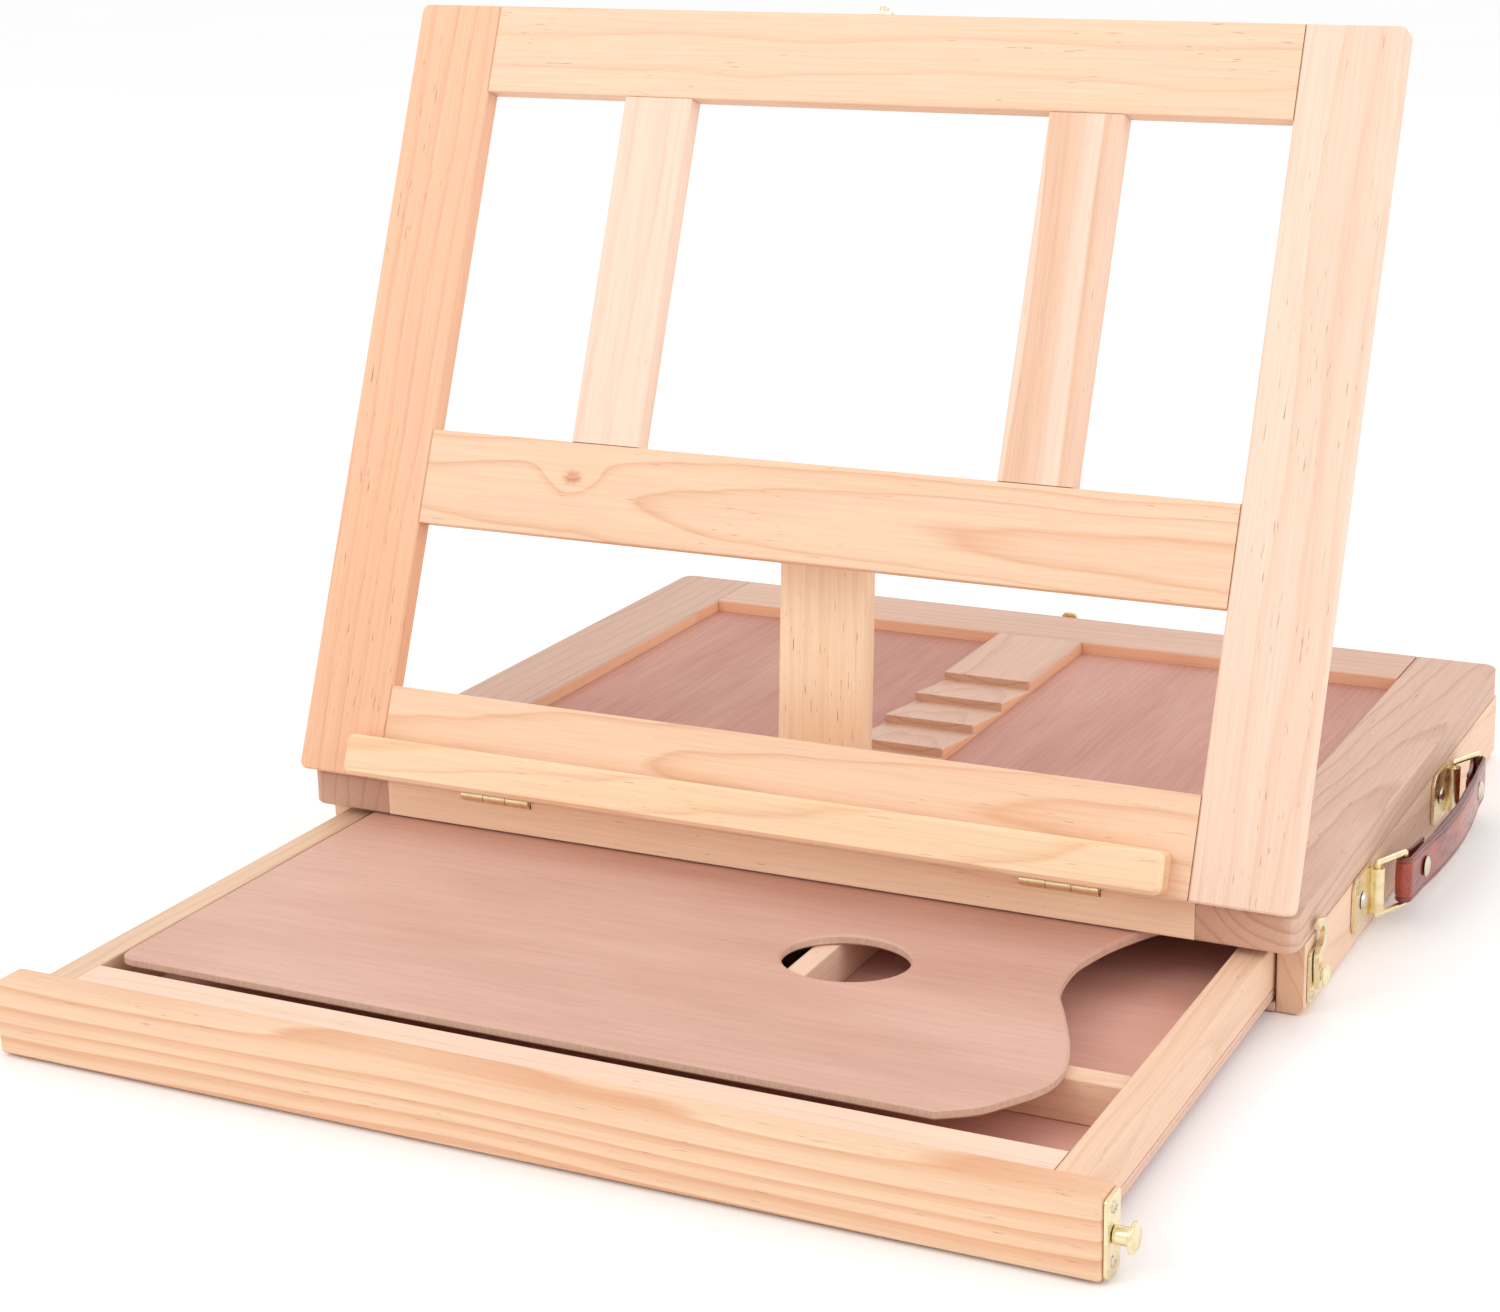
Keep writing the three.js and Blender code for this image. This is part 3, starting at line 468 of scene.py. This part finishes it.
def dress(name, material, ease, angle=25):
    """Gives a CAD node its material, joins its triangles and rounds its edges a little."""
    o = nodes[name]
    o.data.materials.clear()
    o.data.materials.append(material)
    for face in o.data.polygons:
        face.use_smooth = True
    o.modifiers.new("weld", "WELD").merge_threshold = 0.005 * MM
    bevel = o.modifiers.new("ease", "BEVEL")
    bevel.width = ease
    bevel.segments = 2
    bevel.limit_method = "ANGLE"
    bevel.angle_limit = math.radians(angle)
    bevel.harden_normals = False
    o.modifiers.new("shade", "WEIGHTED_NORMAL").keep_sharp = False


WOOD_EASE = 0.2 * MM
PLY_EASE = 0.15 * MM
METAL_EASE = 0.12 * MM

for seed, (name, (along, across, (light, dark), figure)) in enumerate(WOODS.items(), 1):
    low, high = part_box(name)
    pine = wood("pine_" + name, (low + high) / 2, along, across, light, dark, seed, **figure)
    dress(name, pine, WOOD_EASE)
for seed, (name, (along, (light, dark))) in enumerate(PLIES.items(), 3):
    low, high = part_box(name)
    dress(name, plywood("ply_" + name, along, light, dark, seed, low.z, high.z), PLY_EASE)
for part in frame["record"]["subparts"]:
    if part["material_slot"] in METALS:
        dress(part["node"], METALS[part["material_slot"]], METAL_EASE, angle=35)


# ------------------------------------------------------------------ mesh helpers
def new_piece(name, bm, material, body):
    """A finished object made from bm, riding on a body of the CAD."""
    mesh = bpy.data.meshes.new(name)
    bmesh.ops.recalc_face_normals(bm, faces=bm.faces)
    bm.to_mesh(mesh)
    bm.free()
    for face in mesh.polygons:
        face.use_smooth = True
    mesh.materials.append(material)
    o = bpy.data.objects.new(name, mesh)
    bpy.context.scene.collection.objects.link(o)
    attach(o, body)
    return o


def aim(place, normal, turn=0.0):
    """A matrix that puts +Z along normal at place, turned about it."""
    facing = normal.to_track_quat("Z", "Y").to_matrix().to_4x4()
    return Matrix.Translation(place) @ facing @ Matrix.Rotation(turn, 4, "Z")


def skin(bm, rings):
    """Joins rings of vertices one to the next; a ring of one vertex closes the end as a fan."""
    for a, b in zip(rings, rings[1:]):
        steps = max(len(a), len(b))
        for k in range(steps):
            quad = [a[k % len(a)], a[(k + 1) % len(a)], b[(k + 1) % len(b)], b[k % len(b)]]
            bm.faces.new(list(dict.fromkeys(quad)))


# ------------------------------------------------------------------ screws
SCREW_STEPS = 40
SCREW_ROOT = -0.3 * MM  # the head reaches this far into its hole


def screw(name, place, normal, radius, rise, turn, body):
    """A domed cross-head screw, its recess cut as four sloping walls."""
    bm = bmesh.new()
    m = aim(place, normal, turn)
    arm = 0.62 * radius
    half = 0.15 * radius
    recess = 0.5 * rise

    def circle(r, steps, height):
        """Vertices at distance r, at the height that height(x, y) gives."""
        turns = [2 * math.pi * k / steps for k in range(steps)]
        points = [(r * math.cos(t), r * math.sin(t)) for t in turns]
        return [bm.verts.new(m @ Vector((x, y, height(x, y)))) for x, y in points]

    def head(x, y):
        dome = rise * math.sqrt(1 - 0.86 * (x * x + y * y) / radius**2)
        in_cross = (abs(x) < half and abs(y) < arm) or (abs(y) < half and abs(x) < arm)
        return dome - recess if in_cross else dome

    def root(x, y):
        return SCREW_ROOT

    radii = [0.5 * half, half, 1.6 * half, 0.4 * radius, 0.5 * radius, arm, 1.05 * arm]
    radii += [0.8 * radius, 0.92 * radius, radius]
    rings = [circle(0.0, 1, head)]
    rings += [circle(r, SCREW_STEPS, head) for r in radii]
    rings += [circle(radius, SCREW_STEPS, root), circle(0.0, 1, root)]
    skin(bm, rings)
    return new_piece(name, bm, STEEL, body)


HINGE_SCREW_X = 7.5 * MM  # from the leaf's middle, along the pin
HINGE_SCREW_Y = 8.6 * MM  # from the pin, across the leaf
HINGE_SCREW_R = 1.9 * MM
HINGE_SCREW_RISE = 0.25 * MM
LEAF_SUNK = 0.1 * MM
for side in ("left", "right"):
    low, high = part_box("hinge_leaf_case_" + side)
    middle = (low.x + high.x) / 2
    for k, x in enumerate((middle - HINGE_SCREW_X, middle + HINGE_SCREW_X)):
        place = Vector((x, PANEL_HINGE.y + HINGE_SCREW_Y, PANEL_HINGE.z - LEAF_SUNK))
        screw(f"hinge_screw_case_{side}_{k}", place, Z, HINGE_SCREW_R, HINGE_SCREW_RISE, 0.4 + k, "case")
        place = PANEL_HINGE + x * X + HINGE_SCREW_Y * PANEL_UP + LEAF_SUNK * PANEL_OUT
        screw(f"hinge_screw_panel_{side}_{k}", place, -PANEL_OUT, HINGE_SCREW_R, HINGE_SCREW_RISE,
              0.9 * k, "panel")

# Latch and keeper screws stand this far in from the ends of their plates.
LATCH_INSET = 2.4 * MM
LATCH_SCREW_R = 1.3 * MM
LATCH_SCREW_RISE = 0.5 * MM
low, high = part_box("latch_plate")
for k, y in enumerate((low.y + LATCH_INSET, high.y - LATCH_INSET)):
    place = Vector((high.x, y, low.z + LATCH_INSET))
    screw(f"latch_screw_{k}", place, X, LATCH_SCREW_R, LATCH_SCREW_RISE, 0.5 * k, "case")

KEEPER_INSET = 3.4 * MM
KEEPER_SCREW_R = 1.7 * MM
KEEPER_SCREW_RISE = 0.6 * MM
low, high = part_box("keeper_plate")
for k, z in enumerate((high.z - KEEPER_INSET, low.z + KEEPER_INSET)):
    place = Vector((high.x, (low.y + high.y) / 2, z))
    screw(f"keeper_screw_{k}", place, X, KEEPER_SCREW_R, KEEPER_SCREW_RISE, k, "drawer")

HOOK_PLATE_T = 0.9 * MM
HOOK_SCREW_UP = 2.2 * MM
HOOK_SCREW_R = 1.3 * MM
HOOK_SCREW_RISE = 0.4 * MM
low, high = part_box("lid_hook_plate")
place = Vector((0, low.y + HOOK_PLATE_T, low.z + HOOK_SCREW_UP))
screw("lid_hook_screw", place, Y, HOOK_SCREW_R, HOOK_SCREW_RISE, 0.3, "case")

# ------------------------------------------------------------------ leather strap
STRAP_BOW = 4.0 * MM
LAYER = 1.5 * MM  # one thickness of leather
PADDING = 1.3 * MM  # how much thicker the outer run is between its ends
SWELL = 0.5 * MM
LOOP_R = 1.35 * MM  # inside of the loops
LAP = 19 * MM  # how far each end comes back along the inside
LAYER_GAP = 0.3 * MM  # half the gap between the two layers away from the loops
LAP_STEPS = 8
WRAP_STEPS = 9
RUN_STEPS = 36

# Half of the section across the strap: (share of half width, share of half thickness, burnished).
# The edge is rounded and a creased line runs along it.
STRAP_SECTION = [
    (1.0, 0.0, 1),
    (0.992, 0.42, 1),
    (0.955, 0.78, 1),
    (0.90, 0.86, 0.6),
    (0.84, 0.80, 0.3),
    (0.80, 0.56, 1),
    (0.775, 0.54, 1),
    (0.745, 0.76, 0.3),
    (0.69, 0.92, 0),
    (0.55, 1.0, 0),
    (0.28, 1.04, 0),
    (0.0, 1.05, 0),
]


def strap_path(loop_x, front, rear):
    """(centre, thickness) along the band: inside, round one loop, over the top, round the other."""
    reach = rear - front
    wrap_r = LOOP_R + LAYER / 2

    def run(t, side):
        """Centre of the outer (side 1) or inner (side -1) layer at share t between the loops."""
        near_loop = min(t, 1 - t)
        apart = wrap_r - (LOOP_R - LAYER_GAP) * min(1.0, 9 * near_loop)
        arch = max(0.0, math.sin(math.pi * t))
        x = loop_x + STRAP_BOW * arch**0.9 + side * (apart + SWELL * arch)
        return Vector((x, front + reach * t, 0))

    def wrap(y, start):
        turns = [start + math.pi * i / WRAP_STEPS for i in range(1, WRAP_STEPS)]
        return [
            (Vector((loop_x + wrap_r * math.cos(a), y + wrap_r * math.sin(a), 0)), LAYER) for a in turns
        ]

    laps = [LAP / reach * i / LAP_STEPS for i in range(LAP_STEPS + 1)]
    path = [(run(t, -1), LAYER) for t in reversed(laps)]
    path += wrap(front, math.pi)
    for i in range(RUN_STEPS + 1):
        t = i / RUN_STEPS
        padding = PADDING * min(1.0, max(0.0, 5 * min(t, 1 - t) - 0.7))
        path.append((run(t, 1) - X * padding / 2, LAYER + padding))
    path += wrap(rear, 0.0)
    path += [(run(1 - t, -1), LAYER) for t in laps]
    return path


def strap():
    """One long band: it laps on the inside, wraps both ring uprights and bows out between them."""
    low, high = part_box("handle_strap")
    loop = Vector(joints["strap_turn"]["pos_m"])
    path = strap_path(loop.x, loop.y, high.y - (loop.y - low.y))
    half_width = (high.z - low.z) / 2

    half = STRAP_SECTION
    section = half + [(-a, b, e) for a, b, e in half[-2::-1]]
    section += [(-a, -b, e) for a, b, e in half[1:]]
    section += [(a, -b, e) for a, b, e in half[-2:0:-1]]

    bm = bmesh.new()
    burnish = bm.verts.layers.float.new("burnish")
    rings = []
    for i, (centre, thick) in enumerate(path):
        ahead = path[min(i + 1, len(path) - 1)][0] - path[max(i - 1, 0)][0]
        out = ahead.normalized().cross(Z)
        ring = []
        for a, b, worn in section:
            v = bm.verts.new(centre + out * (b * thick / 2) + Z * (loop.z + a * half_width))
            v[burnish] = worn
            ring.append(v)
        rings.append(ring)
    skin(bm, rings)
    bm.faces.new(rings[0][::-1])
    bm.faces.new(rings[-1])
    o = new_piece("leather_strap", bm, LEATHER, "strap")
    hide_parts("handle_strap")


strap()

# ------------------------------------------------------------------ studio
FLOOR_HALF = 6.0
FLOOR_BELOW = 0.4 * MM  # the floor lies this far under the case
TABLE = (0, 0, 0.1)  # what the lights look at

# name: (place, target, size, watts, colour)
LIGHTS = {
    "key": ((-0.9, -1.5, 1.5), (0, -0.05, 0.1), (1.2, 1.0), 8, (1, 0.985, 0.96)),
    "side": ((1.7, -0.3, 1.0), TABLE, (0.9, 0.9), 5, (1, 1, 1)),
    "back": ((0.2, 1.6, 1.3), TABLE, (1.4, 0.6), 3, (1, 0.99, 0.97)),
}


def area_light(name, place, target, size, power, colour):
    data = bpy.data.lights.new(name, "AREA")
    data.shape = "RECTANGLE"
    data.size, data.size_y = size
    data.energy = power
    data.color = colour
    o = bpy.data.objects.new(name, data)
    o.location = place
    o.rotation_euler = (Vector(target) - Vector(place)).to_track_quat("-Z", "Y").to_euler()
    bpy.context.scene.collection.objects.link(o)


def floor():
    g = Graph("studio_floor")
    speck = g.noise(g.place, 3.0, detail=2)
    g.set(Base_Color=g.mix(srgb(254, 254, 254), srgb(251, 251, 252), speck), Roughness=0.9)
    g.set(Specular_IOR_Level=0.1)
    bm = bmesh.new()
    corners = ((-1, -1), (1, -1), (1, 1), (-1, 1))
    bm.faces.new([bm.verts.new((x * FLOOR_HALF, y * FLOOR_HALF, -FLOOR_BELOW)) for x, y in corners])
    mesh = bpy.data.meshes.new("studio_floor")
    bm.to_mesh(mesh)
    bm.free()
    mesh.materials.append(g.mat)
    o = bpy.data.objects.new("studio_floor", mesh)
    bpy.context.scene.collection.objects.link(o)


def world():
    sky = bpy.data.worlds.new("studio")
    sky.use_nodes = True
    background = sky.node_tree.nodes["Background"]
    background.inputs["Color"].default_value = (1, 1, 1, 1)
    background.inputs["Strength"].default_value = 1.0
    bpy.context.scene.world = sky


floor()
world()
for name, settings in LIGHTS.items():
    area_light(name, *settings)

# ------------------------------------------------------------------ camera
EYE = (0.3711, -0.8600, 0.3436)
YAW, PITCH, ROLL = 0.42, -0.27, -0.01  # radians: left of +Y, upwards, right side raised
SENSOR = 36.0  # mm
FOCAL = 67.09  # mm
SHIFT = (-0.10, -0.0507)  # shares of the picture's width


def camera():
    data = bpy.data.cameras.new("camera")
    data.sensor_fit = "AUTO"
    data.sensor_width = SENSOR
    data.lens = FOCAL
    data.shift_x, data.shift_y = SHIFT
    data.clip_start, data.clip_end = 0.05, 50
    ahead = Vector((-math.sin(YAW), math.cos(YAW), 0))
    forward = ahead * math.cos(PITCH) + Z * math.sin(PITCH)
    level = Vector((math.cos(YAW), math.sin(YAW), 0))
    rise = level.cross(forward)
    right = level * math.cos(ROLL) + rise * math.sin(ROLL)
    upward = rise * math.cos(ROLL) - level * math.sin(ROLL)
    turn = Matrix((right, upward, -forward)).transposed().to_4x4()
    o = bpy.data.objects.new("camera", data)
    o.matrix_world = Matrix.Translation(EYE) @ turn
    bpy.context.scene.collection.objects.link(o)
    bpy.context.scene.camera = o


camera()
bpy.context.scene.view_settings.view_transform = "Standard"
